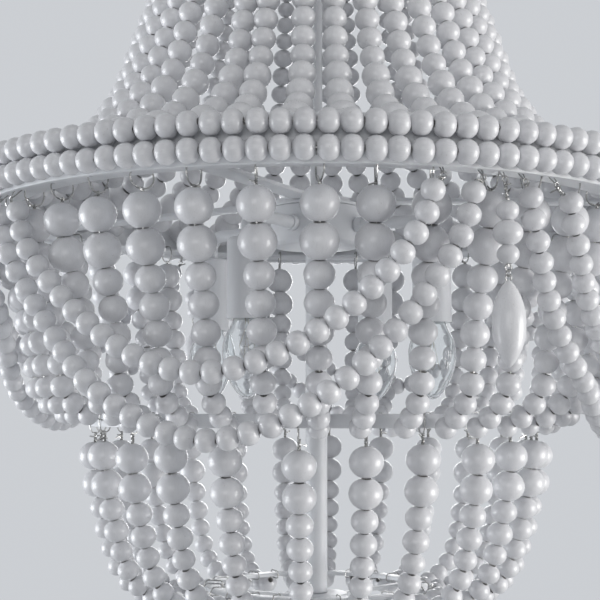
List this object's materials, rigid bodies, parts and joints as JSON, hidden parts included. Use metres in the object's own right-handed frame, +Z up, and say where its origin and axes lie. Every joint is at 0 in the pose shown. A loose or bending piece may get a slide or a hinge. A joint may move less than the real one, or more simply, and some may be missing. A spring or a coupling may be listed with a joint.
{
  "type": "beaded chandelier",
  "caption": "Ceiling chandelier with a white metal frame on a canopy and chain, hung with graduated bead strands, draped swags and pendant drops round clear candle bulbs.",
  "frame": {"origin": "on the ceiling, at the middle of the bracket's top face, above the rod", "axes": "+Z up, -Y the front, where the middle of one bay of swags faces"},
  "size_m": [0.585, 0.585, 0.8076],
  "materials": {
    "painted_bead": "satin white paint",
    "painted_metal": "satin white paint",
    "candle_sleeve": "satin",
    "socket_plastic": "matt",
    "clear_glass": "clear"
  },
  "bodies": {
    "ceiling_mount": {"ceiling_bracket": "painted_metal", "canopy": "painted_metal", "canopy_nipple": "painted_metal", "collar_loop": "painted_metal"},
    "link_1": {"chain_link_1": "painted_metal"},
    "link_2": {"chain_link_2": "painted_metal"},
    "link_3": {"chain_link_3": "painted_metal"},
    "chandelier": {"top_loop": "painted_metal", "upper_rod": "painted_metal", "crown_ring": "painted_metal", "hoop": "painted_metal", "band_row_lower": "painted_bead", "band_row_upper": "painted_bead", "spoke_spider": "painted_metal", "hub_cup": "painted_metal", "hub_cover": "painted_metal", "lower_post": "painted_metal", "lower_ring": "painted_metal", "bottom_frame": "painted_metal", "finial": "painted_metal", "arm_1": "painted_metal", "socket_1": "socket_plastic", "sleeve_1": "candle_sleeve", "crown_strands_1": "painted_bead", "curtain_strands_1": "painted_bead", "basket_strands_1": "painted_bead", "arm_2": "painted_metal", "socket_2": "socket_plastic", "sleeve_2": "candle_sleeve", "crown_strands_2": "painted_bead", "curtain_strands_2": "painted_bead", "basket_strands_2": "painted_bead", "arm_3": "painted_metal", "socket_3": "socket_plastic", "sleeve_3": "candle_sleeve", "crown_strands_3": "painted_bead", "curtain_strands_3": "painted_bead", "basket_strands_3": "painted_bead", "arm_4": "painted_metal", "socket_4": "socket_plastic", "sleeve_4": "candle_sleeve", "crown_strands_4": "painted_bead", "curtain_strands_4": "painted_bead", "basket_strands_4": "painted_bead"},
    "upper_swag_1": {"upper_swag_1": "painted_bead"},
    "lower_swag_1": {"lower_swag_1": "painted_bead"},
    "pendant_drop_1": {"pendant_drop_1": "painted_bead"},
    "bulb_1": {"bulb_1": "clear_glass"},
    "upper_swag_2": {"upper_swag_2": "painted_bead"},
    "lower_swag_2": {"lower_swag_2": "painted_bead"},
    "pendant_drop_2": {"pendant_drop_2": "painted_bead"},
    "bulb_2": {"bulb_2": "clear_glass"},
    "upper_swag_3": {"upper_swag_3": "painted_bead"},
    "lower_swag_3": {"lower_swag_3": "painted_bead"},
    "pendant_drop_3": {"pendant_drop_3": "painted_bead"},
    "bulb_3": {"bulb_3": "clear_glass"},
    "upper_swag_4": {"upper_swag_4": "painted_bead"},
    "lower_swag_4": {"lower_swag_4": "painted_bead"},
    "pendant_drop_4": {"pendant_drop_4": "painted_bead"},
    "bulb_4": {"bulb_4": "clear_glass"}
  },
  "joints": [
    {"name": "link_1_swing", "type": "hinge", "parent": "ceiling_mount", "child": "link_1", "pos_m": [0, 0, -0.0552], "axis": [1, 0, 0], "range_deg": [-30, 30]},
    {"name": "link_2_swing", "type": "hinge", "parent": "link_1", "child": "link_2", "pos_m": [0, 0, -0.0827], "axis": [0, 1, 0], "range_deg": [-30, 30]},
    {"name": "link_3_swing", "type": "hinge", "parent": "link_2", "child": "link_3", "pos_m": [0, 0, -0.1104], "axis": [1, 0, 0], "range_deg": [-30, 30]},
    {"name": "chandelier_swing", "type": "hinge", "parent": "link_3", "child": "chandelier", "pos_m": [0, 0, -0.1381], "axis": [0, 1, 0], "range_deg": [-30, 30]},
    {"name": "upper_swag_1_swing", "type": "hinge", "parent": "chandelier", "child": "upper_swag_1", "pos_m": [0, -0.22225, -0.4794], "axis": [-1, 0, 0], "range_deg": [0, 30]},
    {"name": "lower_swag_1_swing", "type": "hinge", "parent": "chandelier", "child": "lower_swag_1", "pos_m": [0, -0.20447, -0.4794], "axis": [-1, 0, 0], "range_deg": [0, 30]},
    {"name": "pendant_drop_1_swing", "type": "hinge", "parent": "chandelier", "child": "pendant_drop_1", "pos_m": [0.1941, -0.1941, -0.4794], "axis": [-0.7071, -0.7071, 0], "range_deg": [0, 35]},
    {"name": "bulb_1_turn", "type": "hinge", "parent": "chandelier", "child": "bulb_1", "pos_m": [-0.02204, -0.10368, -0.5374], "axis": [0, 0, -1], "range_deg": [0, 720]},
    {"name": "upper_swag_2_swing", "type": "hinge", "parent": "chandelier", "child": "upper_swag_2", "pos_m": [0.22225, 0, -0.4794], "axis": [0, -1, 0], "range_deg": [0, 30]},
    {"name": "lower_swag_2_swing", "type": "hinge", "parent": "chandelier", "child": "lower_swag_2", "pos_m": [0.20447, 0, -0.4794], "axis": [0, -1, 0], "range_deg": [0, 30]},
    {"name": "pendant_drop_2_swing", "type": "hinge", "parent": "chandelier", "child": "pendant_drop_2", "pos_m": [0.1941, 0.1941, -0.4794], "axis": [0.7071, -0.7071, 0], "range_deg": [0, 35]},
    {"name": "bulb_2_turn", "type": "hinge", "parent": "chandelier", "child": "bulb_2", "pos_m": [0.10368, -0.02204, -0.5374], "axis": [0, 0, -1], "range_deg": [0, 720]},
    {"name": "upper_swag_3_swing", "type": "hinge", "parent": "chandelier", "child": "upper_swag_3", "pos_m": [0, 0.22225, -0.4794], "axis": [1, 0, 0], "range_deg": [0, 30]},
    {"name": "lower_swag_3_swing", "type": "hinge", "parent": "chandelier", "child": "lower_swag_3", "pos_m": [0, 0.20447, -0.4794], "axis": [1, 0, 0], "range_deg": [0, 30]},
    {"name": "pendant_drop_3_swing", "type": "hinge", "parent": "chandelier", "child": "pendant_drop_3", "pos_m": [-0.1941, 0.1941, -0.4794], "axis": [0.7071, 0.7071, 0], "range_deg": [0, 35]},
    {"name": "bulb_3_turn", "type": "hinge", "parent": "chandelier", "child": "bulb_3", "pos_m": [0.02204, 0.10368, -0.5374], "axis": [0, 0, -1], "range_deg": [0, 720]},
    {"name": "upper_swag_4_swing", "type": "hinge", "parent": "chandelier", "child": "upper_swag_4", "pos_m": [-0.22225, 0, -0.4794], "axis": [0, 1, 0], "range_deg": [0, 30]},
    {"name": "lower_swag_4_swing", "type": "hinge", "parent": "chandelier", "child": "lower_swag_4", "pos_m": [-0.20447, 0, -0.4794], "axis": [0, 1, 0], "range_deg": [0, 30]},
    {"name": "pendant_drop_4_swing", "type": "hinge", "parent": "chandelier", "child": "pendant_drop_4", "pos_m": [-0.1941, -0.1941, -0.4794], "axis": [-0.7071, 0.7071, 0], "range_deg": [0, 35]},
    {"name": "bulb_4_turn", "type": "hinge", "parent": "chandelier", "child": "bulb_4", "pos_m": [-0.10368, 0.02204, -0.5374], "axis": [0, 0, -1], "range_deg": [0, 720]}
  ]
}
